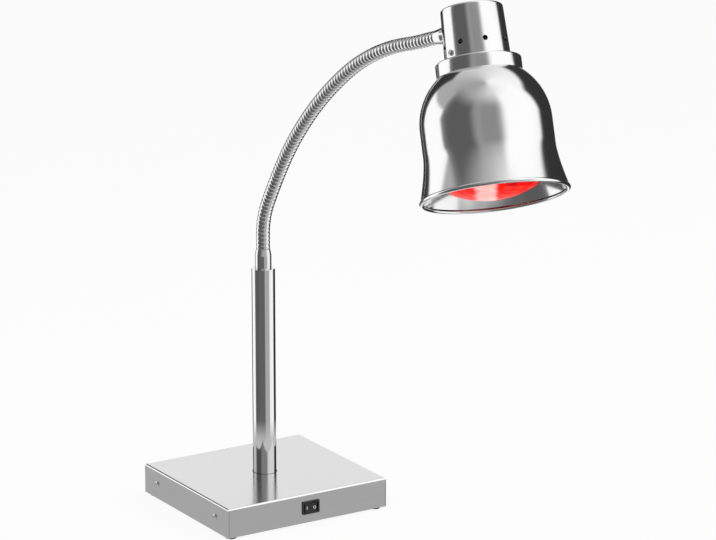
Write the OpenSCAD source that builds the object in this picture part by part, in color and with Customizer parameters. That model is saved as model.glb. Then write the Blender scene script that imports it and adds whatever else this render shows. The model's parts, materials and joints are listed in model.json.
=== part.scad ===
// Food heat lamp: a weighted box with a pole, a ribbed flexible arm and a bell shade over a red bulb.
// Millimetres. The origin is on the pole's axis, in the plane that the feet stand on.
// The switch is at the front, toward -Y, and +Z is up.

/* [Base box] */
// Width of the base box, left to right
base_w = 257; // [240:1:300]
// Depth of the base box, front to back
base_d = 236; // [220:1:280]
// Height of the base box's sheet walls
base_h = 42; // [41:1:60]
// Thickness of the box's sheet steel
sheet = 1.5; // [1:0.1:2]
// Outer radius of the folded top edges
bend_r = 2.5; // [2.2:0.1:4]
// Open slit beside each folded corner
seam = 0.4; // [0.2:0.1:0.8]
// Thickness of the bottom tray
tray_t = 1.2; // [0.8:0.1:1.6]
// Height of the tray's two side flanges
flange_h = 30; // [28:1:34]
// Distance of the side screws from the front and back faces
side_screw_in = 36; // [25:1:50]
// Height of the side screws above the box's lower edge
side_screw_z = 21.8; // [18:0.1:25]

/* [Feet and ballast] */
// Height of the rubber feet
foot_h = 3.5; // [3.2:0.1:6]
// Diameter of the rubber feet
foot_d = 15; // [12:0.5:18]
// Distance of a foot's centre from the side face
foot_in_x = 11.5; // [11:0.5:15]
// Distance of a foot's centre from the front or back face
foot_in_y = 12; // [11:0.5:15]
// Thickness of the ballast plate
ballast_t = 12; // [6:0.5:12.5]
// Distance of the ballast plate's edge from the box's side and front faces
ballast_in = 20; // [19:0.5:30]

/* [Switch] */
// Distance of the switch's centre to the right of the pole's axis
switch_x = 4; // [-60:1:60]
// Height of the switch's centre above the box's lower edge
switch_z = 22; // [20:0.5:26]
// Width of the switch's bezel
bezel_w = 27.5; // [27:0.5:30]
// Height of the switch's bezel
bezel_h = 19; // [18:0.5:20]
// Depth that the switch's body reaches behind the bezel
switch_depth = 18; // [14:1:24]
// Angle that the rocker leans to each side
rocker_tilt = 9; // [5:1:10]

/* [Pole] */
// Diameter of the pole
pole_d = 33; // [30:0.5:36]
// Wall of the pole's tube
pole_wall = 1.5; // [1:0.1:2]
// Length of the pole above the base
pole_l = 298; // [200:1:400]
// Diameter of the bore that the cable goes through
cable_bore = 9; // [8.2:0.1:10]
// Diameter of the threaded spigot under the pole
spigot_d = 16; // [14:0.5:18]
// Width of the square plate that backs the top sheet
backplate_w = 80; // [60:1:100]
// Thickness of the plate that backs the top sheet
backplate_t = 3; // [2:0.5:3.5]
// Diameter of the lower ferrule
ferrule_d = 23; // [21:0.5:26]
// Height of the lower ferrule's straight part
ferrule_h = 18.5; // [10:0.5:30]
// Height of the lower ferrule's cone
ferrule_cone_h = 9.3; // [5:0.1:15]

/* [Arm] */
// Direction of the arm seen from above, from +X toward +Y
arm_azimuth = -75; // [-105:1:-45]
// Outer diameter of the ribbed hose
hose_d = 19.4; // [17:0.1:22]
// Depth of the grooves between the ribs
groove = 1.2; // [0.6:0.1:1.6]
// Bore of the ribbed hose
hose_bore = 11; // [9:0.1:12]
// Distance from one rib to the next
rib_pitch = 6; // [5:0.1:7]
// Number of ribs on each stiff stretch of the hose
stiff_ribs = 9; // [7:1:11]
// Number of ribs on each bending stretch of the hose
flex_ribs = 6; // [5:1:8]
// Diameter of the cable inside the arm
cable_d = 7; // [5:0.1:7.5]
// Diameter of the upper ferrule at the lamp's cap
neck_d = 24; // [22:0.5:28]
// Length of the upper ferrule from the hose to the cap
neck_l = 24; // [18:0.5:30]
// Roll of the lamp's head about the end of the arm
head_roll = 13.3; // [-20:0.1:20]
// Angle that the lamp's head nods forward from square to the end of the arm
head_nod = 6; // [2:0.1:7]

/* [Shade] */
// Outer radius of the shade's straight wall and dome
shade_r = 86; // [80:0.5:95]
// How far the rim stands out from the straight wall
flare = 12; // [6:0.5:16]
// Height of the flared part of the shade
flare_h = 60; // [40:1:70]
// Height of the dome's centre above the opening
dome_z = 97; // [94:1:105]
// Radius of the rolled bead at the rim
bead_r = 2.4; // [1.8:0.1:3]
// Thickness of the shade's spun sheet
shade_t = 1.4; // [1:0.1:1.6]
// Outer radius of the shade's collar
collar_r = 56.2; // [52:0.1:60]
// Height of the collar's top above the opening
collar_z = 181; // [179:1:190]
// Rounding of the collar's top edge
collar_round = 2.5; // [1.6:0.1:3.5]

/* [Lamp cap] */
// Outer radius of the cap at its lower edge
cap_r = 43.2; // [41:0.1:46]
// Outer radius of the cap near its top
cap_top_r = 40.8; // [39:0.1:41]
// Height of the cap
cap_h = 71; // [65:1:80]
// Thickness of the cap's sheet
cap_t = 1.2; // [1:0.1:1.5]
// Rounding of the cap's top edge
cap_round = 3; // [2:0.1:4]
// Height of the crown of the cap's top face
crown = 1.2; // [0.5:0.1:2]
// Height of the arm's axis above the cap's lower edge
arm_up = 41.6; // [40:0.1:45]
// Height of the vent holes above the cap's lower edge
vent_up = 20.5; // [19:0.1:24]
// Diameter of the vent holes
vent_d = 7; // [5:0.1:8]
// Number of vent holes
vents = 8; // [6:1:10]
// Height of the cap's screws above its lower edge
cap_screw_up = 9; // [8:0.1:10]
// Height of the shade's neck inside the cap
shade_neck_h = 14; // [13:0.5:15]

/* [Bulb] */
// Largest radius of the bulb
bulb_r = 61.5; // [55:0.5:66]
// Height of the bulb's face above the shade's opening
bulb_lift = -1; // [-4:0.5:8]
// Radius that the bulb's face is domed to
face_r = 120; // [90:1:200]
// Height of the bulb's widest place above its face
bulb_wide_z = 24; // [20:1:28]
// Length of the bulb's glass to its screw cap
bulb_glass_l = 144; // [140:1:147]
// Thickness of the bulb's glass
glass_t = 1; // [0.8:0.1:1.4]
// Radius of the bulb's screw cap
screw_cap_r = 13.2; // [13:0.1:13.5]
// Length of the bulb's screw cap
screw_cap_l = 27; // [25:1:28]
// Radius of the ceramic lampholder
holder_r = 22; // [20:0.5:24]

/* [Hidden] */
$fn = 96;

// Small play between pieces that fit into each other
fit = 0.05;
// Play of a screw in a plain hole
hole_play = 0.25;
// How far a cutting shape runs past the face that it cuts
past = 1;

// Screws
screw_d = 4;
screw_head_d = 8;
screw_head_h = 2.6;
side_screw_l = 9;
cap_screw_l = 7;
foot_screw_d = 3;
foot_screw_head_d = 6;
foot_screw_head_h = 1.5;
foot_recess_d = 7;
foot_web = 1.6;
ballast_screw_d = 6;
ballast_screw_head_d = 10;
ballast_screw_head_h = 2.4;
ballast_screw_in = 40;

// Levels of the base
box_top = foot_h + base_h;
under_top = box_top - sheet;
tray_top = foot_h + tray_t;
ballast_top = tray_top + ballast_t;
wall_x = base_w / 2;
wall_y = base_d / 2;

// Switch
bezel_t = 1.6;
bezel_round = 1.5;
body_w = bezel_w - 2;
body_h = bezel_h - 3;
switch_wall = 1.2;
pocket_w = body_w - 2 * switch_wall;
pocket_h = body_h - 2 * switch_wall;
pocket_depth = 11;
rocker_r = pocket_w / 2 - 0.3;
rocker_h = pocket_h - 0.6;
pivot_in = 6;
rocker_proud = 1.6;
rocker_dip = 0.4;
rocker_back = 2.2;
pin_r = 1.2;
pin_reach = 1;
blade_l = 8;
blade_w = 6.3;
blade_t = 0.8;
blade_gap = 8;

// Cord gland at the back
gland_x = -70;
gland_z = 28;
gland_thread_d = 15;
gland_bore = 8;
gland_head_d = 21;
gland_head_l = 12;
gland_tail = 12;
gland_nut_af = 19;
gland_nut_t = 4;

// Inside the base
terminal_at = [-55, 55];
terminal_size = [32, 17, 14];
terminal_hole_d = 3.4;
stud_in = 28;
stud_at = [30, wall_y - ballast_in - stud_in];
stud_h = 14;
wire_d = 2.4;

// Pole
pole_top = box_top + pole_l;
plug_d = pole_d - 2 * pole_wall - 2 * fit;
plug_h = 20;
spigot_reach = 13;
pole_nut_af = 24;
pole_nut_t = 7;
bush_h = 24;
stem_d = 14;
stem_l = 18;
hose_z = pole_top + ferrule_h + ferrule_cone_h;

// Arm: each arc has its length and the angle that the hose turns forward along it
arcs = [[20, 0], [48, 23.7], [60, 3.7], [80, 9.6], [120, 14.2], [120, 24.7], [36, -5.3], [20, 3.1]];
joints = 5;
hose_sides = 8;
cable_step = 15;
stretch = (stiff_ribs + flex_ribs) * rib_pitch;
stiff_l = stiff_ribs * rib_pitch;
hose_l = joints * stretch + stiff_l;
first_joint = stiff_l + flex_ribs * rib_pitch / 2;
cable_foot = spigot_reach + sheet + backplate_t + hose_z - box_top;
nipple_d = 13;
nipple_in = 12;
saddle_t = 2.4;
ferrule_nut_af = 19;
ferrule_nut_t = 4.5;
cable_in = 6;

// Lamp head, by height above the shade's opening
cap_z = collar_z;
cap_taper = atan((cap_r - cap_top_r) / cap_h);
arm_z = cap_z + arm_up;
screw_z = cap_z + cap_screw_up;
vent_z = cap_z + vent_up;
neck_top = cap_z + shade_neck_h;
neck_r = cap_radius(neck_top) - cap_t / cos(cap_taper) - 2 * fit;
neck_in = neck_r - shade_t;
arm_to_axis = neck_l + cap_radius(arm_z);
vent_first = 15;
screw_first = 82;
legs = 2;
leg_w = 12;
leg_t = 1.5;
hub_r = 19;
hub_t = 1.5;
flare_power = 1.45;
bulb_top = bulb_lift + bulb_glass_l;
face_edge = 11;
sleeve_t = 0.6;
holder_bottom = bulb_top + 1;
holder_up = 26;
holder_top = cap_z + holder_up;
socket_r = screw_cap_r + fit + sleeve_t + fit;
socket_top = bulb_top + screw_cap_l + 4;
terminal_y = 9;
lead_depth = 6;
lead_hole_d = 4;
holder_screw_x = 12;

// Radius of the cap's outside at a height above the opening
function cap_radius(z) = cap_r - (z - cap_z) * tan(cap_taper);

// Where an arc of length l that turns by t, begun at angle a, has come after u
function arc_step(l, t, a, u) = t == 0
    ? u * [sin(a), cos(a)]
    : l / t * (180 / PI) * [cos(a) - cos(a + t * u / l), sin(a + t * u / l) - sin(a)];

// Place along the arm, forward and up from the hose's foot, s from its foot
function along(s, i = 0, a = 0) = i == len(arcs)
    ? s * [sin(a), cos(a)]
    : s <= arcs[i][0]
        ? (s < 0 ? [0, s] : arc_step(arcs[i][0], arcs[i][1], a, s))
        : arc_step(arcs[i][0], arcs[i][1], a, arcs[i][0]) + along(s - arcs[i][0], i + 1, a + arcs[i][1]);

// Lean of the arm from the vertical, s from the hose's foot
function lean(s, i = 0, a = 0) = i == len(arcs)
    ? a
    : s <= arcs[i][0]
        ? a + arcs[i][1] * max(s, 0) / arcs[i][0]
        : lean(s - arcs[i][0], i + 1, a + arcs[i][1]);

// One ring of points square to the arm
function ring(s, r) = let (p = along(s), a = lean(s)) [
    for (k = [0:hose_sides - 1])
        let (turn = 360 * k / hose_sides)
        [p[0] + r * sin(turn) * cos(a), r * cos(turn), p[1] - r * sin(turn) * sin(a)]
];

// Outline of a smooth curve through chosen points
function between(p, q, r, s, u) = 0.5 * (2 * q + (r - p) * u + (2 * p - 5 * q + 4 * r - s) * u * u
    + (3 * q - p - 3 * r + s) * u * u * u);
function smooth(path, steps) = let (last = len(path) - 1) [
    for (i = [0:last - 1], k = [0:steps - 1])
        between(path[max(i - 1, 0)], path[i], path[i + 1], path[min(i + 2, last)], k / steps),
    path[last]
];

// The same outline moved to its left by t, for the inside of a thin wall
function right_of(p, q) = [q[1] - p[1], p[0] - q[0]] / norm(q - p);
function inset(path, t) = let (last = len(path) - 1) [
    for (i = [0:last])
        let (m = right_of(path[max(i - 1, 0)], path[max(i, 1)])
            + right_of(path[min(i, last - 1)], path[min(i + 1, last)]),
            p = path[i] - m * 2 * t / (m * m))
        path[i][0] == 0 ? [0, path[i][1] - sign(m[1]) * t] : p
];
function wall(path, t) = let (inner = inset(path, t))
    concat(path, [for (i = [len(inner) - 1:-1:0]) inner[i]]);

// Shared shapes

// A box that stands on z = 0 with its top edges rounded
module rounded_top(w, h, r) {
    translate([-w / 2, 0]) square([w, h - r]);
    translate([-w / 2 + r, 0]) square([w - 2 * r, h]);
    for (side = [-1, 1]) translate([side * (w / 2 - r), h - r]) circle(r = r);
}
module folded_block(w, d, h, r) {
    intersection() {
        rotate([90, 0, 0]) linear_extrude(height = d, center = true) rounded_top(w, h, r);
        rotate([90, 0, 90]) linear_extrude(height = w, center = true) rounded_top(d, h, r);
    }
}

// A screw with a domed head above z = 0, a cross recess and its shank below
module pan_screw(head_d, head_h, shank_d, length) {
    recess = head_d * 0.55;
    slot = head_d * 0.12;
    difference() {
        intersection() {
            cylinder(d = head_d, h = head_h);
            translate([0, 0, head_h - head_d]) sphere(r = head_d);
        }
        for (turn = [0, 90])
            rotate(turn)
                translate([-recess / 2, -slot / 2, head_h * 0.45]) cube([recess, slot, head_h]);
    }
    translate([0, 0, -length]) cylinder(d = shank_d, h = length);
}

// A hexagonal nut on z = 0
module hex_nut(across, thick, bore) {
    difference() {
        cylinder(d = across / cos(30), h = thick, $fn = 6);
        translate([0, 0, -past]) cylinder(d = bore, h = thick + 2 * past);
    }
}

// A tube from ring to ring, hollow where inner rings are given
module swept(outer, inner = []) {
    n = hose_sides;
    points = [for (r = outer) each r, for (r = inner) each r];
    first_in = len(outer) * n;
    end_out = first_in - n;
    end_in = first_in + (len(inner) - 1) * n;
    skin = [
        for (i = [0:len(outer) - 2], k = [0:n - 1])
            let (a = i * n + k, b = i * n + (k + 1) % n)
            each [[a, b, a + n], [b, b + n, a + n]]
    ];
    bore = [
        for (i = [0:1:len(inner) - 2], k = [0:n - 1])
            let (a = first_in + i * n + k, b = first_in + i * n + (k + 1) % n)
            each [[a, a + n, b], [b, a + n, b + n]]
    ];
    rims = len(inner) == 0
        ? [for (k = [1:n - 2]) each [[0, k + 1, k], [end_out, end_out + k, end_out + k + 1]]]
        : [
            for (k = [0:n - 1])
                let (j = (k + 1) % n)
                each [
                    [k, first_in + k, j],
                    [j, first_in + k, first_in + j],
                    [end_out + k, end_out + j, end_in + k],
                    [end_out + j, end_in + j, end_in + k]
                ]
        ];
    polyhedron(points, concat(skin, bore, rims), convexity = 6);
}

// A thin wire that bends smoothly through chosen points and never runs along flat
module wire(points, d, flat) {
    path = smooth(points, 4);
    last = len(path) - 1;
    swept([
        for (i = [0:last])
            let (way = path[min(i + 1, last)] - path[max(i - 1, 0)],
                side = cross(way, flat) / norm(cross(way, flat)),
                up = cross(side, way) / norm(way))
            [for (k = [0:hose_sides - 1])
                path[i] + d / 2 * (side * cos(360 * k / hose_sides) + up * sin(360 * k / hose_sides))]
    ]);
}

// Frames that the pieces are placed in

// The arm's own plane, with its foot at the origin
module in_arm() {
    translate([0, 0, hose_z]) rotate([0, 0, arm_azimuth]) children();
}

// The hose's upper end, with +Z along the arm
module at_arm_end() {
    p = along(hose_l);
    in_arm() translate([p[0], 0, p[1]]) rotate([0, lean(hose_l), 0]) children();
}

// The lamp's head: origin in the shade's opening, +Z up its axis and the arm coming from -X
module in_head() {
    at_arm_end()
        translate([0, 0, arm_to_axis])
            rotate([0, -90, 0])
                rotate([-head_roll, 0, 0])
                    rotate([0, -head_nod, 0])
                        translate([0, 0, -arm_z]) children();
}

// A place on the cap's outside, square to its wall, with +Z outward
module on_cap(turn, z) {
    rotate(turn) translate([cap_radius(z), 0, z]) rotate([0, 90 - cap_taper, 0]) children();
}

// The solid that the cap's outside, moved inward by t, encloses
module cap_cone(t) {
    step = t / cos(cap_taper);
    translate([0, 0, cap_z])
        cylinder(r1 = cap_r - step, r2 = cap_top_r - step, h = cap_h);
}

// Places that repeat
module at_feet() {
    for (x = [-1, 1], y = [-1, 1])
        translate([x * (wall_x - foot_in_x), y * (wall_y - foot_in_y), 0]) children();
}
module at_side_screws() {
    for (x = [-1, 1], y = [-1, 1])
        translate([x * wall_x, y * (wall_y - side_screw_in), foot_h + side_screw_z])
            rotate([0, x * 90, 0]) children();
}
module at_ballast_screws() {
    for (x = [-1, 1], y = [-1, 1])
        translate([x * (wall_x - ballast_screw_in), y * (wall_y - ballast_screw_in), foot_h]) children();
}
module at_cap_screws() {
    for (k = [0:legs - 1]) on_cap(screw_first + 360 * k / legs, screw_z) children();
}
module at_gland() {
    translate([gland_x, wall_y, gland_z]) rotate([-90, 0, 0]) children();
}
module at_pivot() {
    translate([switch_x, -wall_y - bezel_t + pivot_in, foot_h + switch_z]) children();
}

// Base box

module base_shell() {
    inner_w = base_w - 2 * sheet;
    inner_d = base_d - 2 * sheet;
    slit_h = base_h - bend_r;
    color("gainsboro")
    difference() {
        translate([0, 0, foot_h]) folded_block(base_w, base_d, base_h, bend_r);
        translate([0, 0, foot_h - past])
            folded_block(inner_w, inner_d, base_h - sheet + past, bend_r - sheet);
        translate([0, 0, under_top - past]) cylinder(d = spigot_d + 2 * hole_play, h = sheet + 2 * past);
        translate([switch_x, -wall_y, foot_h + switch_z])
            cube([body_w + 2 * fit, 4 * sheet, body_h + 2 * fit], center = true);
        at_gland() translate([0, 0, -2 * sheet]) cylinder(d = gland_thread_d + 2 * hole_play, h = 4 * sheet);
        at_side_screws() translate([0, 0, -2 * sheet]) cylinder(d = screw_d + 2 * hole_play, h = 4 * sheet);
        for (x = [-1, 1], y = [-1, 1])
            translate([x * (inner_w - seam) / 2, y * (wall_y - sheet / 2), foot_h + slit_h / 2 - past])
                cube([seam, sheet + 2 * past, slit_h], center = true);
    }
}

module base_tray() {
    tray_w = base_w - 2 * sheet;
    tray_d = base_d - 2 * sheet - 2 * hole_play;
    flange_l = tray_d - 2 * foot_in_y;
    color("silver")
    difference() {
        union() {
            translate([-tray_w / 2, -tray_d / 2, foot_h]) cube([tray_w, tray_d, tray_t]);
            for (x = [-1, 1])
                translate([x * (tray_w - tray_t) / 2, 0, foot_h + flange_h / 2])
                    cube([tray_t, flange_l, flange_h], center = true);
        }
        at_side_screws()
            translate([0, 0, -sheet - tray_t - past]) cylinder(d = screw_d + 2 * fit, h = tray_t + 2 * past);
        at_feet()
            translate([0, 0, foot_h - past]) cylinder(d = foot_screw_d + 2 * fit, h = tray_t + 2 * past);
        at_ballast_screws()
            translate([0, 0, -past]) cylinder(d = ballast_screw_d + 2 * hole_play, h = tray_t + 2 * past);
    }
}

module side_screws() {
    color("lightgray") at_side_screws() pan_screw(screw_head_d, screw_head_h, screw_d, side_screw_l);
}

module feet() {
    color("#202020") at_feet()
    difference() {
        cylinder(d = foot_d, h = foot_h);
        translate([0, 0, -past]) cylinder(d = foot_recess_d, h = foot_h - foot_web + past);
        cylinder(d = foot_screw_d + 2 * hole_play, h = foot_h + past);
    }
}

module foot_screws() {
    color("gray") at_feet()
    translate([0, 0, foot_h - foot_web]) mirror([0, 0, 1])
        pan_screw(foot_screw_head_d, foot_screw_head_h, foot_screw_d, foot_web + tray_t + 2);
}

module ballast_plate() {
    color("#4a4d50")
    difference() {
        translate([-wall_x + ballast_in, -wall_y + ballast_in, tray_top])
            cube([base_w - 2 * ballast_in, base_d - 2 * ballast_in, ballast_t]);
        at_ballast_screws() cylinder(d = ballast_screw_d + 2 * fit, h = ballast_t + tray_t + past);
        translate([stud_at[0], stud_at[1], tray_top]) cylinder(d = screw_d + 2 * fit, h = ballast_t + past);
    }
}

module ballast_screws() {
    color("gray") at_ballast_screws() mirror([0, 0, 1])
        pan_screw(ballast_screw_head_d, ballast_screw_head_h, ballast_screw_d, tray_t + ballast_t * 0.75);
}

// Switch

module switch_housing() {
    color("#161616")
    translate([switch_x, -wall_y, foot_h + switch_z])
    difference() {
        union() {
            translate([0, -bezel_t, 0]) rotate([-90, 0, 0]) linear_extrude(height = bezel_t) bezel_outline();
            translate([-body_w / 2, 0, -body_h / 2]) cube([body_w, switch_depth, body_h]);
        }
        translate([-pocket_w / 2, -bezel_t - past, -pocket_h / 2])
            cube([pocket_w, pocket_depth + past, pocket_h]);
        translate([0, pivot_in - bezel_t, -pocket_h / 2 - pin_reach - fit])
            cylinder(r = pin_r + fit, h = pocket_h + 2 * (pin_reach + fit));
    }
}
module bezel_outline() {
    square([bezel_w - 2 * bezel_round, bezel_h], center = true);
    square([bezel_w, bezel_h - 2 * bezel_round], center = true);
    for (x = [-1, 1], y = [-1, 1])
        translate([x * (bezel_w / 2 - bezel_round), y * (bezel_h / 2 - bezel_round)]) circle(r = bezel_round);
}

// The rocker leans to its left at rest, with its pins in the housing
module switch_rocker() {
    front = pivot_in + rocker_proud;
    color("#0c0c0c")
    at_pivot() rotate(-rocker_tilt) {
        intersection() {
            cylinder(r = rocker_r, h = rocker_h, center = true);
            linear_extrude(height = rocker_h, center = true)
                polygon([
                    [-bezel_w, -front - rocker_dip], [0, -front + 2 * rocker_dip],
                    [bezel_w, -front - rocker_dip], [bezel_w, rocker_back], [-bezel_w, rocker_back]
                ]);
        }
        cylinder(r = pin_r, h = pocket_h + 2 * pin_reach, center = true);
    }
}

module switch_terminals() {
    color("goldenrod")
    for (x = [-1, 1])
        translate([switch_x + x * blade_gap - blade_t / 2, -wall_y + switch_depth, 0])
            translate([0, 0, foot_h + switch_z - blade_w / 2]) cube([blade_t, blade_l, blade_w]);
}

// Cord gland and wiring in the base

module cord_gland() {
    color("#1c1c1c") at_gland()
    difference() {
        union() {
            cylinder(d = gland_head_d, h = gland_head_l * 0.45);
            cylinder(d1 = gland_head_d * 0.9, d2 = gland_head_d * 0.7, h = gland_head_l);
            translate([0, 0, -gland_tail]) cylinder(d = gland_thread_d, h = gland_tail + past);
        }
        translate([0, 0, -gland_tail - past])
            cylinder(d = gland_bore, h = gland_tail + gland_head_l + 2 * past);
    }
}

module gland_nut() {
    color("#242424") at_gland()
        translate([0, 0, -sheet - gland_nut_t]) hex_nut(gland_nut_af, gland_nut_t, gland_thread_d + 2 * fit);
}

module terminal_block() {
    color("ivory")
    translate([terminal_at[0], terminal_at[1], ballast_top])
    difference() {
        translate([-terminal_size[0] / 2, -terminal_size[1] / 2, 0]) cube(terminal_size);
        for (x = [-1, 0, 1])
            translate([x * terminal_size[0] * 0.3, 0, terminal_size[2] / 2]) rotate([90, 0, 0])
                cylinder(d = terminal_hole_d, h = terminal_size[1] + 2 * past, center = true);
    }
}

module earth_stud() {
    color("goldenrod")
    translate([stud_at[0], stud_at[1], ballast_top]) {
        translate([0, 0, -ballast_t * 0.6]) cylinder(d = screw_d, h = ballast_t * 0.6 + stud_h);
        cylinder(d = 7 / cos(30), h = 3, $fn = 6);
    }
}

// Two wires to the switch and one to the earth stud, each from its own hole of the terminal block
module base_wires() {
    hole = terminal_size[0] * 0.3;
    mouth = terminal_at[1] - terminal_size[1] / 2 + 3;
    back = terminal_at[1] + terminal_size[1] / 2 - 3;
    level = ballast_top + terminal_size[2] / 2;
    blade_y = -wall_y + switch_depth + blade_l - 2;
    blade_z = foot_h + switch_z;
    side = (blade_t + wire_d) / 2 + fit;
    run_in = 9;
    stud_x = stud_at[0] - (screw_d + wire_d) / 2 - fit;
    earth_x = terminal_at[0] - hole;
    color("firebrick") {
        for (way = [[0, switch_x - blade_gap - side], [hole, switch_x + blade_gap + side]])
            let (from = terminal_at[0] + way[0], to = way[1], half = (from + to) / 2)
            wire([[from, mouth, level], [from, mouth - run_in, level],
                [from, mouth - 3 * run_in, level], [from, mouth - 7 * run_in, level],
                [half, blade_y + 5 * run_in, level], [(half + 3 * to) / 4, blade_y + 3 * run_in, blade_z],
                [to, blade_y + 2 * run_in, blade_z], [to, blade_y + run_in, blade_z],
                [to, blade_y - 3, blade_z]], wire_d, [0, 0, 1]);
        wire([[earth_x, back, level], [earth_x, back + 0.7 * run_in, level],
            [earth_x, back + 1.4 * run_in, level], [earth_x + run_in, back + 2.2 * run_in, level],
            [earth_x + 3 * run_in, back + 2.3 * run_in, level],
            [(earth_x + stud_x) / 2, back + 2.3 * run_in, level],
            [stud_x - 3 * run_in, stud_at[1] + 1.6 * run_in, level],
            [stud_x - run_in, stud_at[1] + 1.5 * run_in, level], [stud_x, stud_at[1] + run_in, level],
            [stud_x, stud_at[1] + run_in / 2, level], [stud_x, stud_at[1] - 1, level]], wire_d, [0, 0, 1]);
    }
}

// Pole

module pole_tube() {
    color("whitesmoke")
    translate([0, 0, box_top])
    difference() {
        cylinder(d = pole_d, h = pole_l);
        translate([0, 0, -past]) cylinder(d = pole_d - 2 * pole_wall, h = pole_l + 2 * past);
    }
}

module pole_plug() {
    color("silver")
    difference() {
        union() {
            translate([0, 0, box_top]) cylinder(d = plug_d, h = plug_h);
            translate([0, 0, under_top - backplate_t - spigot_reach])
                cylinder(d = spigot_d, h = spigot_reach + backplate_t + sheet + past);
        }
        translate([0, 0, foot_h]) cylinder(d = cable_bore, h = box_top + plug_h);
    }
}

module pole_backplate() {
    color("silver")
    difference() {
        translate([-backplate_w / 2, -backplate_w / 2, under_top - backplate_t])
            cube([backplate_w, backplate_w, backplate_t]);
        translate([0, 0, under_top - backplate_t - past])
            cylinder(d = spigot_d + 2 * hole_play, h = backplate_t + 2 * past);
    }
}

module pole_nut() {
    color("darkgray")
    translate([0, 0, under_top - backplate_t - pole_nut_t])
        hex_nut(pole_nut_af, pole_nut_t, spigot_d + 2 * fit);
}

module pole_bush() {
    color("lightgray")
    translate([0, 0, pole_top - bush_h])
    difference() {
        cylinder(d = plug_d, h = bush_h);
        translate([0, 0, -past]) cylinder(d = stem_d + 2 * fit, h = bush_h + 2 * past);
    }
}

module lower_ferrule() {
    color("silver")
    difference() {
        union() {
            translate([0, 0, pole_top - stem_l]) cylinder(d = stem_d, h = stem_l + past);
            translate([0, 0, pole_top]) cylinder(d = ferrule_d, h = ferrule_h);
            translate([0, 0, pole_top + ferrule_h]) cylinder(d1 = ferrule_d, d2 = hose_d, h = ferrule_cone_h);
        }
        translate([0, 0, pole_top - stem_l - past])
            cylinder(d = cable_bore, h = stem_l + ferrule_h + ferrule_cone_h + 2 * past);
    }
}

// Arm

// A ribbed stretch of the hose from s0, with its ribs' crests halfway along each pitch
module ribbed(s0, ribs) {
    outer = [for (i = [0:2 * ribs]) ring(s0 + i * rib_pitch / 2, hose_d / 2 - (i % 2 == 0 ? groove : 0))];
    inner = [for (i = [0:ribs]) ring(s0 + i * rib_pitch, hose_bore / 2)];
    color("silver") in_arm() swept(outer, inner);
}
module stiff_piece(k) {
    ribbed((k - 1) * stretch, stiff_ribs);
}
module flex_piece(k) {
    ribbed((k - 1) * stretch + stiff_l, flex_ribs);
}

// The cable in the arm, in lengths that meet at the hinges
module cable_piece(k) {
    s0 = k == 1 ? -cable_foot : first_joint + (k - 2) * stretch;
    s1 = k == joints + 1 ? hose_l + neck_l + cap_t + nipple_in + cable_in : first_joint + (k - 1) * stretch;
    steps = ceil((s1 - s0) / cable_step);
    color("#303030") in_arm() swept([for (i = [0:steps]) ring(s0 + (s1 - s0) * i / steps, cable_d / 2)]);
}

module upper_ferrule() {
    cone_l = neck_l * 0.55;
    nipple_l = neck_l + cap_t + nipple_in;
    color("silver")
    difference() {
        union() {
            difference() {
                at_arm_end() {
                    cylinder(d1 = hose_d, d2 = neck_d, h = cone_l);
                    translate([0, 0, cone_l]) cylinder(d = neck_d, h = neck_l - cone_l + 3);
                }
                in_head() cap_cone(0);
            }
            at_arm_end() cylinder(d = nipple_d, h = nipple_l);
        }
        at_arm_end() translate([0, 0, -past]) cylinder(d = cable_bore, h = nipple_l + 2 * past);
    }
}

// The nipple's axis in the head, with +Z out toward the arm
module at_nipple() {
    translate([0, 0, arm_z]) rotate([0, head_nod, 0]) rotate([0, -90, 0]) children();
}

module saddle_washer() {
    face = cap_radius(arm_z) - cap_t - saddle_t;
    color("silver") in_head()
    difference() {
        intersection() {
            at_nipple() translate([0, 0, face]) cylinder(d = ferrule_nut_af, h = 2 * saddle_t);
            cap_cone(cap_t);
        }
        at_nipple() cylinder(d = nipple_d + 2 * fit, h = cap_r);
    }
}

module ferrule_nut() {
    face = cap_radius(arm_z) - cap_t - saddle_t;
    color("darkgray") in_head() at_nipple()
        translate([0, 0, face - ferrule_nut_t]) hex_nut(ferrule_nut_af, ferrule_nut_t, nipple_d + 2 * fit);
}

// Lamp head

module lamp_cap() {
    top = cap_z + cap_h;
    edge = cap_radius(top - cap_round);
    outline = concat(
        [[cap_r, cap_z]],
        [for (a = [0:15:90]) [edge - cap_round * (1 - cos(a)), top - cap_round * (1 - sin(a))]],
        [for (f = [0.75, 0.5, 0.25, 0]) [(edge - cap_round) * f, top + crown * (1 - f * f)]]
    );
    color("lightgray") in_head()
    difference() {
        rotate_extrude() polygon(wall(outline, cap_t));
        for (k = [0:vents - 1])
            rotate(vent_first + 360 * k / vents) translate([0, 0, vent_z])
                rotate([0, 90, 0]) cylinder(d = vent_d, h = cap_r + past);
        at_cap_screws() translate([0, 0, -2 * cap_t]) cylinder(d = screw_d + 2 * hole_play, h = 3 * cap_t);
        at_nipple() translate([0, 0, cap_top_r / 2]) cylinder(d = nipple_d + 2 * fit, h = cap_r);
    }
}

module cap_screws() {
    color("lightgray") in_head() at_cap_screws() pan_screw(screw_head_d, screw_head_h, screw_d, cap_screw_l);
}

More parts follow.
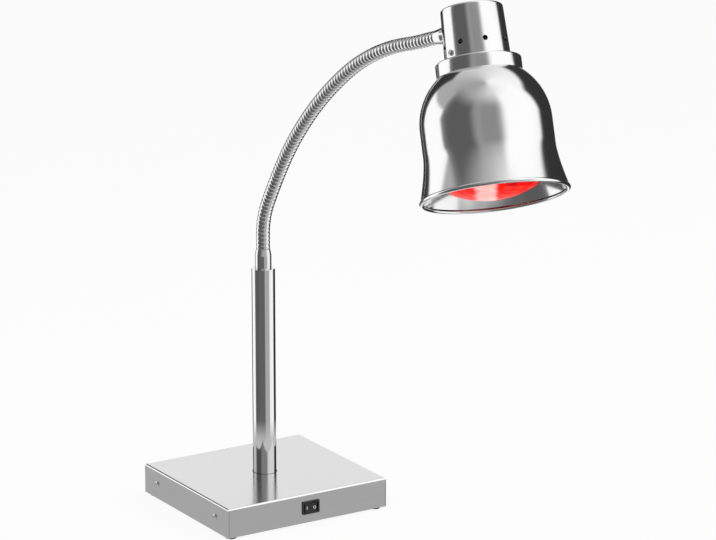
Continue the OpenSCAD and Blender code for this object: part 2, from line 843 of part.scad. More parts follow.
module shade() {
    dome_end = acos(collar_r / shade_r);
    outline = concat(
        [for (f = [0.04, 0.12, 0.22, 0.34, 0.48, 0.64, 0.82, 1])
            [shade_r + flare * pow(1 - f, flare_power), flare_h * f]],
        [for (i = [0:12]) [shade_r * cos(dome_end * i / 12), dome_z + shade_r * sin(dome_end * i / 12)]],
        [for (a = [0:30:90])
            [collar_r - collar_round * (1 - cos(a)), collar_z - collar_round * (1 - sin(a))]],
        [[neck_r, collar_z], [neck_r, neck_top]]
    );
    color("lightgray") in_head()
    difference() {
        rotate_extrude() {
            polygon(wall(outline, shade_t));
            translate([shade_r + flare - bead_r, bead_r]) circle(r = bead_r, $fn = 24);
        }
        at_cap_screws()
            translate([0, 0, -cap_screw_l]) cylinder(d = screw_d + 2 * hole_play, h = cap_screw_l);
    }
}

// A bridge with two legs that the cap's screws hold
module holder_bracket() {
    leg_bottom = screw_z - 6;
    color("silver") in_head()
    difference() {
        intersection() {
            union() {
                translate([0, 0, holder_top]) cylinder(r = hub_r, h = hub_t);
                for (k = [0:legs - 1]) rotate(screw_first + 360 * k / legs) {
                    translate([hub_r / 2, -leg_w / 2, holder_top]) cube([neck_r, leg_w, hub_t]);
                    translate([neck_in - 2 * leg_t, -leg_w / 2, leg_bottom])
                        cube([2 * leg_t + fit, leg_w, holder_top + hub_t - leg_bottom]);
                }
            }
            cylinder(r = neck_in, h = holder_top + hub_t + past);
        }
        at_cap_screws()
            translate([0, 0, -cap_screw_l - past]) cylinder(d = screw_d + 2 * fit, h = cap_screw_l);
        translate([0, 0, holder_top - past]) {
            for (y = [-1, 1])
                translate([0, y * terminal_y, 0]) cylinder(d = lead_hole_d + 1, h = 2 * hub_t + past);
            for (x = [-1, 1])
                translate([x * holder_screw_x, 0, 0])
                    cylinder(d = screw_d + 2 * hole_play, h = 2 * hub_t + past);
        }
    }
}

module holder_screws() {
    color("lightgray") in_head()
    for (x = [-1, 1])
        translate([x * holder_screw_x, 0, holder_top + hub_t]) pan_screw(7, 2.2, screw_d, hub_t + 7);
}

module lampholder() {
    color("white") in_head()
    difference() {
        union() {
            translate([0, 0, holder_bottom]) cylinder(r = holder_r, h = holder_top - holder_bottom - 8);
            translate([0, 0, holder_top - 8]) cylinder(r1 = holder_r, r2 = hub_r - 0.5, h = 8);
        }
        translate([0, 0, holder_bottom - past]) cylinder(r = socket_r, h = socket_top - holder_bottom + past);
        for (x = [-1, 1])
            translate([x * holder_screw_x, 0, holder_top - 7]) cylinder(d = screw_d + 2 * fit, h = 7 + past);
        for (y = [-1, 1])
            translate([0, y * terminal_y, holder_top - lead_depth])
                cylinder(d = lead_hole_d, h = lead_depth + past);
    }
}

module socket_sleeve() {
    color("goldenrod") in_head()
    translate([0, 0, holder_bottom + 2])
    difference() {
        cylinder(r = socket_r, h = socket_top - holder_bottom - 2);
        translate([0, 0, -past]) cylinder(r = socket_r - sleeve_t - fit, h = socket_top);
    }
}

module centre_contact() {
    color("goldenrod") in_head()
    translate([0, 0, bulb_top + screw_cap_l]) {
        translate([0, 0, 0.6]) cylinder(r = 1.6, h = socket_top - bulb_top - screw_cap_l - 0.6);
        cylinder(r = 4, h = 0.8);
    }
}

// The two leads from the end of the arm's cable down to the lampholder
module lamp_leads() {
    reach = cap_radius(arm_z) - cap_t - nipple_in - cable_in;
    end_x = -reach * cos(head_nod) + 2 * hole_play;
    end_z = arm_z + reach * sin(head_nod);
    bend_x = end_x + 5;
    floor_z = holder_top - lead_depth + hole_play;
    color("white") in_head()
    for (y = [-1, 1])
        wire([[end_x, y * 1.8, end_z], [bend_x, y * 2.2, end_z - 1], [0, y * terminal_y, arm_z - 6],
            [0, y * terminal_y, floor_z]], wire_d, [0, 1, 0]);
}

// Bulb

module bulb_glass() {
    widest = bulb_lift + bulb_wide_z;
    edge_r = bulb_r - face_edge;
    edge_z = bulb_lift + face_r - sqrt(face_r * face_r - edge_r * edge_r);
    face = [for (f = [0:0.2:0.8])
        [edge_r * f, bulb_lift + face_r - sqrt(face_r * face_r - pow(edge_r * f, 2))]];
    taper = bulb_top - widest;
    side = smooth([
        [edge_r, edge_z],
        [bulb_r - 4, (2 * edge_z + widest) / 3],
        [bulb_r, widest],
        [bulb_r * 0.93, widest + taper * 0.2],
        [bulb_r * 0.76, widest + taper * 0.4],
        [bulb_r * 0.55, widest + taper * 0.62],
        [bulb_r * 0.36, widest + taper * 0.82],
        [screw_cap_r + 1.2, bulb_top]
    ], 3);
    outline = concat(face, side);
    glass = wall(outline, glass_t);
    color("red") in_head() {
        rotate_extrude() polygon(glass);
        translate([0, 0, bulb_top - 0.5])
            difference() {
                cylinder(r = screw_cap_r + 1.2, h = 0.5);
                translate([0, 0, -past]) cylinder(r = screw_cap_r - 2, h = 1 + 2 * past);
            }
    }
}

module bulb_screw_cap() {
    cap_skin = 0.5;
    color("goldenrod") in_head()
    translate([0, 0, bulb_top])
    difference() {
        union() {
            cylinder(r = screw_cap_r, h = screw_cap_l - 4);
            translate([0, 0, screw_cap_l - 4]) cylinder(r1 = screw_cap_r, r2 = 5, h = 3);
            cylinder(r = 4.8, h = screw_cap_l);
        }
        translate([0, 0, -past]) cylinder(r = screw_cap_r - cap_skin, h = screw_cap_l - 5 + past);
    }
}

// The glass stem, its leads and the filament
module bulb_filament() {
    stem_top = bulb_top;
    stem_z = bulb_top - 42;
    coil_z = stem_z - 30;
    spread = 14;
    color("lightyellow") in_head() {
        translate([0, 0, stem_z]) cylinder(r = 3.5, h = stem_top - stem_z);
        translate([0, 0, stem_top]) cylinder(r = screw_cap_r - 1, h = 1);
        for (x = [-1, 1]) wire([[x * 1.5, 0, stem_z + 2], [x * spread, 0, coil_z]], 1, [0, 1, 0]);
        wire([[-spread, 0, coil_z], [0, 4, coil_z - 2], [spread, 0, coil_z]], 1.6, [0, 0, 1]);
    }
}

base_shell();
base_tray();
side_screws();
feet();
foot_screws();
ballast_plate();
ballast_screws();
switch_housing();
switch_rocker();
switch_terminals();
cord_gland();
gland_nut();
terminal_block();
earth_stud();
base_wires();
pole_tube();
pole_plug();
pole_backplate();
pole_nut();
pole_bush();
lower_ferrule();
stiff_piece(1);  // hose_1
stiff_piece(2);  // hose_2
stiff_piece(3);  // hose_3
stiff_piece(4);  // hose_4
stiff_piece(5);  // hose_5
stiff_piece(6);  // hose_6
flex_piece(1);  // flex_1
flex_piece(2);  // flex_2
flex_piece(3);  // flex_3
flex_piece(4);  // flex_4
flex_piece(5);  // flex_5
cable_piece(1);  // cable_1
cable_piece(2);  // cable_2
cable_piece(3);  // cable_3
cable_piece(4);  // cable_4
cable_piece(5);  // cable_5
cable_piece(6);  // cable_6
upper_ferrule();
saddle_washer();
ferrule_nut();
lamp_cap();
cap_screws();
shade();
holder_bracket();
holder_screws();
lampholder();
socket_sleeve();
centre_contact();
lamp_leads();
bulb_glass();
bulb_screw_cap();
bulb_filament();
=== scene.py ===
import json
import math

import bmesh
import bpy
from mathutils import Matrix, Vector


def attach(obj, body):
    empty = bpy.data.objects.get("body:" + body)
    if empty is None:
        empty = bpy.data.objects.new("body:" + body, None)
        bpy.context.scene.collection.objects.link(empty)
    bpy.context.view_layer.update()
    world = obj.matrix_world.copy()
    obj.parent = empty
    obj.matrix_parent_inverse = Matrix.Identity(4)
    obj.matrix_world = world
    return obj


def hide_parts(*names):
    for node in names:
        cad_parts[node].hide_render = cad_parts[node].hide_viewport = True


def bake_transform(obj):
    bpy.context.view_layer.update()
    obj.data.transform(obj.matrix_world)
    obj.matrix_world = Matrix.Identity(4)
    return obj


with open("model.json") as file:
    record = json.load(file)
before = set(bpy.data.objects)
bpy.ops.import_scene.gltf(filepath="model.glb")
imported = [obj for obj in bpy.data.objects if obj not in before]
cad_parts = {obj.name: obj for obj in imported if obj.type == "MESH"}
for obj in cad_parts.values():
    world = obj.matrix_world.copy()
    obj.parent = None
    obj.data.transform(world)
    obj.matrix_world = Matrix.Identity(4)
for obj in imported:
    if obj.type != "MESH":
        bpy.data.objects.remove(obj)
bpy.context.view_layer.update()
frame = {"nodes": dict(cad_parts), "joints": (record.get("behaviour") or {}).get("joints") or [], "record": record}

# The looks of a food heat lamp. Metres, in the frame's own axes: +Z up, the switch toward -Y.

MM = 0.001


def mm(*values):
    """Millimetres as metres."""
    return values[0] * MM if len(values) == 1 else Vector(values) * MM


# The arm's route, as on the frame: arcs of a length and the angle that they turn forward
ARM_AZIMUTH = math.radians(-75)
HOSE_FOOT = 371.3
ARCS = [(20, 0), (48, 23.7), (60, 3.7), (80, 9.6), (120, 14.2), (120, 24.7), (36, -5.3), (20, 3.1)]
RIB_PITCH = 6
HOSE_R = 9.7
GROOVE = 1.2
CREST_POWER = 0.24    # the lower, the flatter a rib's crest
HOSE_BORE_R = 6.6
STIFF = 54
FLEX = 36
STRETCH = STIFF + FLEX
HOSE_L = 504
HINGES = 5

POLE_R = 16.5
# A ring of painted shade round the pole's foot: how far it reaches inside and outside the pole's radius
FOOT_SHADE_IN = 1
FOOT_SHADE_OUT = 1.2

# The lamp's head, by height above the shade's opening
NECK_L = 24
HEAD_ROLL = math.radians(13.3)
HEAD_NOD = math.radians(6)
CAP_Z = 181
CAP_R = 43.2
CAP_TOP_R = 40.8
CAP_H = 71
CAP_T = 1.2
CAP_ROUND = 3
CROWN = 1.2
ARM_Z = CAP_Z + 41.6
SHADE_R = 86
SHADE_T = 1.4
FLARE = 12
FLARE_H = 60
FLARE_POWER = 1.45
BEAD_R = 2.8
DOME_Z = 97
COLLAR_R = 56.2
COLLAR_ROUND = 2.5
COLLAR_FOOT = 1.2
NECK_TOP = CAP_Z + 14
NECK_GAP = 0.1
VENT_Z = CAP_Z + 20.5
VENT_R = 3.5
VENTS = 8
VENT_FIRST = 15
SCREW_Z = CAP_Z + 9
SCREW_FIRST = 82
SCREWS = 2
SCREW_HOLE_R = 2.2
NIPPLE_R = 6.6
CUT_IN = 8
CUT_OUT = 6

# The bulb
BULB_R = 61.5
BULB_LIFT = -1
FACE_R = 120
BULB_WIDE = BULB_LIFT + 24
BULB_TOP = BULB_LIFT + 144
BULB_NECK_R = 14.4
BULB_T = 1
BULB_EDGE = 11
# Its long side: shares of the full radius, and of the height from the widest place to the top
BULB_TAPER = [(0.93, 0.2), (0.76, 0.4), (0.55, 0.62), (0.36, 0.82)]
# Above the face the bulb's own glow fades between these heights
GLOW = 0.72
GLOW_FADES = (22, 40)
# A pale band of painted highlight on the face: a place on its middle line, its turn, and half its width
HIGHLIGHT_AT = (-8.4, -8.6, 0)
HIGHLIGHT_TURN = math.radians(45.6)
HIGHLIGHT_HALF = 12.5

# The camera: its place, the way it looks, and its focal length in pixels of a 716-pixel frame
CAMERA_AT = Vector((-2.3862, -4.0538, 1.6335))
CAMERA_YAW = math.radians(-32.09)
CAMERA_PITCH = math.radians(-15.38)
FOCAL_PIXELS = 3500
FRAME_PIXELS = 716
SENSOR = 36
VIEWER_AZIMUTH = math.radians(-122.1)

# The rocker's front: its tilt at rest, half its length, how far it stands out, and its hollow in the middle
ROCKER_TILT = math.radians(-9)
ROCKER_HALF = 11.25
ROCKER_FRONT = 7.6
ROCKER_DIP = 0.8
ROCKER_SLOPE = 1.2 / 25.5
MARK_RISE = 0.12
MARK_ROOT = 0.1

# Lamps: name, place, what it points at, width and height, and watts
LAMPS = [
    ("key", (-1.6, -1.4, 2.6), (0, -0.2, 0.3), (1.6, 1.6), 26),
    ("fill", (2.2, -1.0, 1.8), (0, -0.2, 0.3), (1.4, 1.8), 14),
]


# The arm's and the head's own axes

FORWARD = Vector((math.cos(ARM_AZIMUTH), math.sin(ARM_AZIMUTH), 0))
ACROSS = Vector((-math.sin(ARM_AZIMUTH), math.cos(ARM_AZIMUTH), 0))
UP = Vector((0, 0, 1))


def arm_point(s):
    """Place and lean of the arm, s from the hose's foot, in millimetres and radians."""
    forward, up, lean = 0.0, 0.0, 0.0
    for length, turn in ARCS:
        part = min(max(s, 0), length)
        bend = math.radians(turn) * part / length
        if turn:
            radius = length / math.radians(turn)
            forward += radius * (math.cos(lean) - math.cos(lean + bend))
            up += radius * (math.sin(lean + bend) - math.sin(lean))
        else:
            forward += part * math.sin(lean)
            up += part * math.cos(lean)
        lean += bend
        s -= length
        if s <= 0:
            break
    return FORWARD * forward + UP * (up + HOSE_FOOT), lean


def arm_axis(lean):
    return FORWARD * math.sin(lean) + UP * math.cos(lean)


def arm_normal(lean):
    return FORWARD * math.cos(lean) - UP * math.sin(lean)


def cap_radius(z):
    return CAP_R - (z - CAP_Z) * (CAP_R - CAP_TOP_R) / CAP_H


def head_matrix():
    """From the head's millimetres to the frame: origin in the shade's opening, +Z up, the arm from -X."""
    end, lean = arm_point(HOSE_L)
    along, down = arm_axis(lean), arm_normal(lean)
    rolled = -down * math.cos(HEAD_ROLL) + ACROSS * math.sin(HEAD_ROLL)
    up = rolled * math.cos(HEAD_NOD) - along * math.sin(HEAD_NOD)
    right = along * math.cos(HEAD_NOD) + rolled * math.sin(HEAD_NOD)
    centre = end + along * (NECK_L + cap_radius(ARM_Z)) - up * ARM_Z
    axes = Matrix((right, up.cross(right), up)).transposed()
    return Matrix.Translation(centre * MM) @ axes.to_4x4() @ Matrix.Scale(MM, 4)


HEAD = head_matrix()
HEAD_UP = HEAD.to_3x3().col[2].normalized()
HEAD_AT = HEAD.to_translation()


# Meshes

def make_object(name, mesh, material, smooth_angle=35):
    """An object for a finished mesh, shaded smooth up to an angle."""
    for face in mesh.polygons:
        face.use_smooth = True
    mesh.set_sharp_from_angle(angle=math.radians(smooth_angle))
    mesh.materials.clear()
    mesh.materials.append(material)
    piece = bpy.data.objects.new(name, mesh)
    bpy.context.scene.collection.objects.link(piece)
    return piece


def mesh_from(name, points, faces):
    mesh = bpy.data.meshes.new(name)
    mesh.from_pydata([tuple(p) for p in points], [], faces)
    mesh.validate()
    mesh.update()
    return mesh


def lathe_mesh(name, outline, matrix, segments=192, closed=True):
    """A turned mesh. The outline is (radius, height), counterclockwise; on the axis a ring is one point."""
    points, rows = [], []
    for radius, height in outline:
        if radius < 1e-6:
            rows.append([len(points)] * segments)
            points.append(matrix @ Vector((0, 0, height)))
            continue
        rows.append(list(range(len(points), len(points) + segments)))
        for k in range(segments):
            turn = 2 * math.pi * k / segments
            points.append(matrix @ Vector((radius * math.cos(turn), radius * math.sin(turn), height)))
    pairs = list(zip(rows, rows[1:]))
    if closed:
        pairs.append((rows[-1], rows[0]))
    faces = []
    for low, high in pairs:
        for k in range(segments):
            j = (k + 1) % segments
            corners = [low[k], low[j], high[j], high[k]]
            ring = [c for i, c in enumerate(corners) if c != corners[i - 1]]
            if len(ring) > 2:
                faces.append(ring)
    return mesh_from(name, points, faces)


def wall_outline(path, thickness):
    """A closed outline of a thin wall: the path, then the same path moved to its left."""
    inner = []
    last = len(path) - 1
    for i, point in enumerate(path):
        before = (Vector(path[max(i, 1)]) - Vector(path[max(i, 1) - 1])).normalized()
        after = (Vector(path[min(i + 1, last)]) - Vector(path[min(i + 1, last) - 1])).normalized()
        normal = Vector((before.y + after.y, -before.x - after.x))
        shift = normal * (2 * thickness / normal.length_squared)
        on_axis = point[0] < 1e-6
        inner.append((0, point[1] - thickness) if on_axis else (point[0] - shift.x, point[1] - shift.y))
    return list(path) + inner[::-1]


def arc(centre, radius, start, end, steps):
    """Points of an arc in (radius, height), angles in degrees."""
    return [
        (centre[0] + radius * math.cos(math.radians(start + (end - start) * i / steps)),
         centre[1] + radius * math.sin(math.radians(start + (end - start) * i / steps)))
        for i in range(steps + 1)
    ]


def catmull(path, steps):
    """A smooth curve through the path's points."""
    out = []
    for i in range(len(path) - 1):
        a, b, c, d = (Vector(path[min(max(i + k, 0), len(path) - 1)]) for k in (-1, 0, 1, 2))
        for k in range(steps):
            u = k / steps
            out.append(tuple(0.5 * (2 * b + (c - a) * u + (2 * a - 5 * b + 4 * c - d) * u ** 2
                                    + (3 * b - a - 3 * c + d) * u ** 3)))
    out.append(path[-1])
    return out


def cut_holes(mesh, cutters):
    """The mesh with the cutters' meshes cut out of it."""
    body = bpy.data.objects.new("cut_body", mesh)
    bpy.context.scene.collection.objects.link(body)
    tools = []
    for cutter in cutters:
        tool = bpy.data.objects.new("cut_tool", cutter)
        bpy.context.scene.collection.objects.link(tool)
        tools.append(tool)
        cut = body.modifiers.new("cut", "BOOLEAN")
        cut.object = tool
        cut.operation = "DIFFERENCE"
        cut.solver = "EXACT"
    graph = bpy.context.evaluated_depsgraph_get()
    result = bpy.data.meshes.new_from_object(body.evaluated_get(graph))
    for thing in [body] + tools:
        bpy.data.objects.remove(thing)
    return result


def rod_mesh(start, end, radius, segments=48):
    """A closed cylinder between two places."""
    way = end - start
    turn = way.to_track_quat("Z", "Y").to_matrix().to_4x4()
    matrix = Matrix.Translation(start) @ turn
    outline = [(0, 0), (radius, 0), (radius, way.length), (0, way.length)]
    return lathe_mesh("rod", outline, matrix, segments, closed=False)


def join_meshes(name, meshes):
    """One mesh of several, each with its own matrix already applied."""
    whole = bmesh.new()
    for mesh in meshes:
        whole.from_mesh(mesh)
    out = bpy.data.meshes.new(name)
    whole.to_mesh(out)
    whole.free()
    return out


# Node trees

class Nodes:
    """A short way to write a shader's nodes."""

    def __init__(self, tree):
        self.tree = tree
        tree.nodes.clear()

    def add(self, kind, inputs=None, **settings):
        node = self.tree.nodes.new(kind)
        for name, value in settings.items():
            setattr(node, name, value)
        for name, value in (inputs or {}).items():
            socket = node.inputs[name]
            if isinstance(value, bpy.types.NodeSocket):
                self.tree.links.new(value, socket)
            else:
                socket.default_value = value
        return node

    def math(self, operation, a, b=0.0):
        return self.add("ShaderNodeMath", {0: a, 1: b}, operation=operation).outputs[0]

    def ramp(self, factor, stops, interpolation="LINEAR"):
        """Grey levels at places from 0 to 1."""
        node = self.add("ShaderNodeValToRGB", {"Fac": factor})
        node.color_ramp.interpolation = interpolation
        elements = node.color_ramp.elements
        while len(elements) > 1:
            elements.remove(elements[-1])
        for i, (place, level) in enumerate(stops):
            element = elements[0] if i == 0 else elements.new(place)
            element.position = place
            colour = level if isinstance(level, tuple) else (level, level, level)
            element.color = (*colour, 1)
        return node.outputs["Color"]

    def mix_shaders(self, factor, first, second):
        """The first shader at 0 and the second at 1."""
        return self.add("ShaderNodeMixShader", {0: factor, 1: first, 2: second}).outputs[0]

    def noise(self, vector, scale, detail=2.0, roughness=0.5):
        return self.add("ShaderNodeTexNoise", {
            "Vector": vector, "Scale": scale, "Detail": detail, "Roughness": roughness}).outputs["Fac"]

    def dot(self, vector, way):
        """How far a vector reaches along a way."""
        node = self.add("ShaderNodeVectorMath", {0: vector, 1: tuple(way)}, operation="DOT_PRODUCT")
        return node.outputs["Value"]

    def length(self, vector):
        return self.add("ShaderNodeVectorMath", {0: vector}, operation="LENGTH").outputs["Value"]

    def minus(self, vector, other):
        return self.add("ShaderNodeVectorMath", {0: vector, 1: tuple(other)}, operation="SUBTRACT").outputs[0]

    def stretch(self, vector, scale):
        return self.add("ShaderNodeMapping", {"Vector": vector, "Scale": scale}).outputs["Vector"]

    def place(self):
        return self.add("ShaderNodeTexCoord").outputs["Object"]

    def spread(self, factor, low, high):
        """A factor from 0 to 1 as a value from low to high."""
        return self.add("ShaderNodeMapRange", {"Value": factor, "To Min": low, "To Max": high}).outputs[0]

    def mix(self, factor, a, b):
        node = self.add("ShaderNodeMix", data_type="RGBA")
        for socket, value in zip((node.inputs[0], node.inputs[6], node.inputs[7]), (factor, a, b)):
            if isinstance(value, bpy.types.NodeSocket):
                self.tree.links.new(value, socket)
            else:
                socket.default_value = value
        return node.outputs[2]


def window(n, value, low, high, soft):
    """1 between two values and 0 outside, with soft edges."""
    rise = n.add("ShaderNodeMapRange", {
        "Value": value, "From Min": low - soft, "From Max": low + soft,
    }, interpolation_type="SMOOTHSTEP").outputs[0]
    fall = n.add("ShaderNodeMapRange", {
        "Value": value, "From Min": high - soft, "From Max": high + soft, "To Min": 1.0, "To Max": 0.0,
    }, interpolation_type="SMOOTHSTEP").outputs[0]
    return n.math("MULTIPLY", rise, fall)


def new_material(name):
    material = bpy.data.materials.new(name)
    material.use_nodes = True
    return material, Nodes(material.node_tree)


def finish_material(n, sockets, bump=None):
    """A Principled surface with its sockets, and a bump of (height, strength, distance) if given."""
    shader = n.add("ShaderNodeBsdfPrincipled", sockets)
    if bump:
        height, strength, distance = bump
        node = n.add("ShaderNodeBump", {"Height": height, "Strength": strength, "Distance": distance})
        n.tree.links.new(node.outputs["Normal"], shader.inputs["Normal"])
    out = n.add("ShaderNodeOutputMaterial")
    n.tree.links.new(shader.outputs[0], out.inputs["Surface"])
    return shader


# Materials

def grey(level):
    return (level, level, level, 1)


def spun_metal(name, level, roughness, at, axis, lathe_lines=2600, smudge=0.05):
    """Polished sheet with faint lines left round its axis by spinning, and a few smudges."""
    material, n = new_material(name)
    place = n.place()
    from_foot = n.minus(place, at)
    height = n.dot(from_foot, axis)
    away = n.length(from_foot)
    lines_at = n.add("ShaderNodeCombineXYZ", {0: height, 1: n.math("MULTIPLY", away, 0.6)})
    lines = n.noise(lines_at.outputs[0], lathe_lines, 3.0, 0.6)
    smudges = n.noise(place, 14, 4.0, 0.6)
    wiped = n.noise(n.stretch(place, (30, 30, 8)), 1.2, 3.0, 0.5)
    rough = n.math("ADD", n.spread(smudges, roughness - smudge / 2, roughness + smudge / 2),
                   n.spread(lines, -0.02, 0.03))
    tone = n.mix(wiped, grey(level), grey(level * 0.94))
    finish_material(n, {"Base Color": tone, "Metallic": 1.0, "Roughness": rough}, (lines, 0.035, 0.0002))
    return material


def chrome(name, level, roughness):
    """Bright plating with light handling marks."""
    material, n = new_material(name)
    place = n.place()
    marks = n.noise(place, 35, 5.0, 0.65)
    fine = n.noise(n.stretch(place, (900, 900, 60)), 1.0, 2.0, 0.5)
    rough = n.math("ADD", n.spread(marks, roughness * 0.6, roughness * 1.4), n.spread(fine, 0, 0.02))
    tone = n.mix(marks, grey(level), grey(level * 0.95))
    finish_material(n, {"Base Color": tone, "Metallic": 1.0, "Roughness": rough}, (fine, 0.02, 0.0001))
    return material


def brushed_steel():
    """Brushed from left to right on level and front faces, and from front to back on the sides.

    Painted highlights lighten the folds, and a ring of painted shade darkens the top round the pole's foot.
    """
    material, n = new_material("brushed_sheet")
    place = n.place()
    normal = n.add("ShaderNodeNewGeometry").outputs["Normal"]
    sideways = n.math("ABSOLUTE", n.add("ShaderNodeSeparateXYZ", {0: normal}).outputs[0])
    to_side = n.math("GREATER_THAN", sideways, 0.7)
    across = n.noise(n.stretch(place, (6, 1600, 1600)), 1.0, 4.0, 0.65)
    along = n.noise(n.stretch(place, (1600, 6, 1600)), 1.0, 4.0, 0.65)
    grain = n.add("ShaderNodeMix", {0: to_side, 2: across, 3: along}, data_type="FLOAT").outputs[0]
    clouds = n.noise(place, 9, 3.0, 0.5)
    rough = n.math("ADD", n.spread(grain, 0.12, 0.2), n.spread(clouds, -0.02, 0.03))
    flat = n.add("ShaderNodeVectorMath", {0: place, 1: (1.0, 1.0, 0.0)}, operation="MULTIPLY").outputs[0]
    # Painted shade: a dark ring on the top round the pole's foot.
    foot_shade = window(n, n.length(flat), mm(POLE_R - FOOT_SHADE_IN), mm(POLE_R + FOOT_SHADE_OUT), mm(0.5))
    level = n.add("ShaderNodeSeparateXYZ", {0: normal}).outputs[2]
    # Painted highlight: the bends between the level and upright faces are painted nearly white.
    fold_highlight = window(n, level, 0.12, 0.95, 0.06)
    sheet = n.mix(fold_highlight, n.mix(grain, grey(0.58), grey(0.67)), grey(0.93))
    tone = n.mix(foot_shade, sheet, grey(0.05))
    finish_material(n, {"Base Color": tone, "Metallic": 1.0, "Roughness": rough}, (grain, 0.05, 0.0002))
    return material


def plain_metal(name, colour, roughness, metallic=1.0, spots=220, depth=0.15):
    """Zinc, brass or painted iron, with a fine uneven skin."""
    material, n = new_material(name)
    place = n.place()
    skin = n.noise(place, spots, 4.0, 0.6)
    broad = n.noise(place, 18, 3.0, 0.5)
    dark = tuple(c * 0.78 for c in colour)
    tone = n.mix(broad, (*colour, 1), (*dark, 1))
    rough = n.spread(skin, roughness * 0.75, roughness * 1.25)
    finish_material(n, {"Base Color": tone, "Metallic": metallic, "Roughness": rough}, (skin, depth, 0.0003))
    return material


def plastic(name, colour, roughness, grain=1400, depth=0.12):
    """Moulded plastic or rubber with a fine spark-eroded grain."""
    material, n = new_material(name)
    place = n.place()
    skin = n.noise(place, grain, 3.0, 0.6)
    broad = n.noise(place, 40, 3.0, 0.5)
    light = tuple(min(1, c * 1.25 + 0.004) for c in colour)
    tone = n.mix(broad, (*colour, 1), (*light, 1))
    rough = n.spread(skin, roughness * 0.85, roughness * 1.15)
    finish_material(n, {"Base Color": tone, "Roughness": rough, "IOR": 1.5}, (skin, depth, 0.0002))
    return material


def ruby_glass(at, up, aside):
    """Ruby lacquer on a mirrored bulb: deep red with brighter patches, and a pale band of painted highlight.

    The face glows a little of itself to the camera.
    """
    material, n = new_material("ruby_glass")
    place = n.place()
    patches = n.noise(place, 42, 4.0, 0.6)
    streaks = n.noise(n.stretch(place, (24, 110, 110)), 1.0, 3.0, 0.6)
    blend = n.math("MULTIPLY", n.math("ADD", patches, streaks), 0.5)
    tone = n.ramp(blend, [(0.36, (0.34, 0.0, 0.0)), (0.5, (0.78, 0.0, 0.0)), (0.62, (1.0, 0.05, 0.03))])
    from_band = n.minus(place, at)
    # Painted highlight: a pale pink band across the face, with ragged edges.
    ragged = n.math("ADD", n.dot(from_band, aside), n.spread(streaks, mm(-8), mm(8)))
    highlight_band = window(n, ragged, mm(-HIGHLIGHT_HALF), mm(HIGHLIGHT_HALF), mm(4))
    highlight = n.math("MULTIPLY", highlight_band, n.spread(patches, 0.2, 1.0))
    colour = n.mix(highlight, tone, (0.98, 0.62, 0.57, 1))
    face = n.add("ShaderNodeMapRange", {
        "Value": n.dot(from_band, up), "From Min": mm(GLOW_FADES[0]), "From Max": mm(GLOW_FADES[1]),
        "To Min": GLOW, "To Max": 0.0}).outputs[0]
    seen = n.add("ShaderNodeLightPath").outputs["Is Camera Ray"]
    finish_material(n, {
        "Base Color": colour, "Roughness": n.spread(patches, 0.35, 0.5), "IOR": 1.2,
        "Emission Color": colour, "Emission Strength": n.math("MULTIPLY", face, seen),
        "Coat Weight": 0.12, "Coat Roughness": 0.06, "Coat IOR": 1.45}, (streaks, 0.1, 0.0006))
    return material


def clear_glass():
    material, n = new_material("stem_glass")
    smears = n.noise(n.place(), 60, 2.0, 0.5)
    finish_material(n, {
        "Base Color": grey(0.95), "Roughness": n.spread(smears, 0.02, 0.08), "IOR": 1.5,
        "Transmission Weight": 1.0})
    return material


SHEET = brushed_steel()
CHROME = chrome("polished_plating", 0.86, 0.06)
HOSE_METAL = chrome("hose_plating", 0.82, 0.12)
SPUN = spun_metal("spun_aluminium", 0.9, 0.12, HEAD_AT, HEAD_UP)
BRIGHT = chrome("bright_screw", 0.74, 0.14)
ZINC = plain_metal("zinc_plate", (0.62, 0.63, 0.64), 0.34)
IRON = plain_metal("painted_iron", (0.035, 0.036, 0.038), 0.5, 0.0, 500, 0.4)
BRASS = plain_metal("brass_strip", (0.76, 0.55, 0.24), 0.24)
RUBBER = plastic("black_rubber", (0.018, 0.018, 0.018), 0.62, 900, 0.3)
BLACK = plastic("black_plastic", (0.014, 0.014, 0.014), 0.28)
SLEEVE = plastic("cable_sleeve", (0.03, 0.03, 0.03), 0.45)
CREAM = plastic("cream_plastic", (0.82, 0.79, 0.70), 0.42)
CERAMIC = plastic("bare_ceramic", (0.80, 0.79, 0.75), 0.5, 700, 0.35)
WIRE = plastic("red_insulation", (0.50, 0.04, 0.03), 0.35)
MARK = plastic("mark_paint", (0.72, 0.72, 0.72), 0.4)
# The way across the bulb's band of painted highlight
HIGHLIGHT_WAY = HEAD.to_3x3() @ Vector((math.cos(HIGHLIGHT_TURN), math.sin(HIGHLIGHT_TURN), 0))
RUBY = ruby_glass(HEAD @ Vector(HIGHLIGHT_AT), HEAD_UP, HIGHLIGHT_WAY.normalized())
STEM = clear_glass()

SLOT_MATERIALS = {
    "brushed_stainless": SHEET,
    "polished_chrome": CHROME,
    "polished_aluminium": SPUN,
    "bright_steel": BRIGHT,
    "zinc_steel": ZINC,
    "cast_iron": IRON,
    "black_rubber": RUBBER,
    "black_plastic": BLACK,
    "cable_sleeve": SLEEVE,
    "white_plastic": CREAM,
    "brass": BRASS,
    "ceramic": CERAMIC,
    "ruby_glass": RUBY,
    "clear_glass": STEM,
    "red_wire": WIRE,
}


def dress_nodes():
    """Every carried-over node takes its slot's material."""
    for part in frame["record"]["subparts"]:
        node = frame["nodes"].get(part["node"])
        if node is None:
            continue
        material = SLOT_MATERIALS[part["material_slot"]]
        if not node.material_slots:
            node.data.materials.append(material)
        for place in node.material_slots:
            place.material = material


# The hose

def rib_radius(phase):
    """Outer radius of the hose at a share of a rib: broad, nearly flat crests and narrow grooves."""
    return HOSE_R - GROOVE * (1 - math.sin(math.pi * phase) ** CREST_POWER)


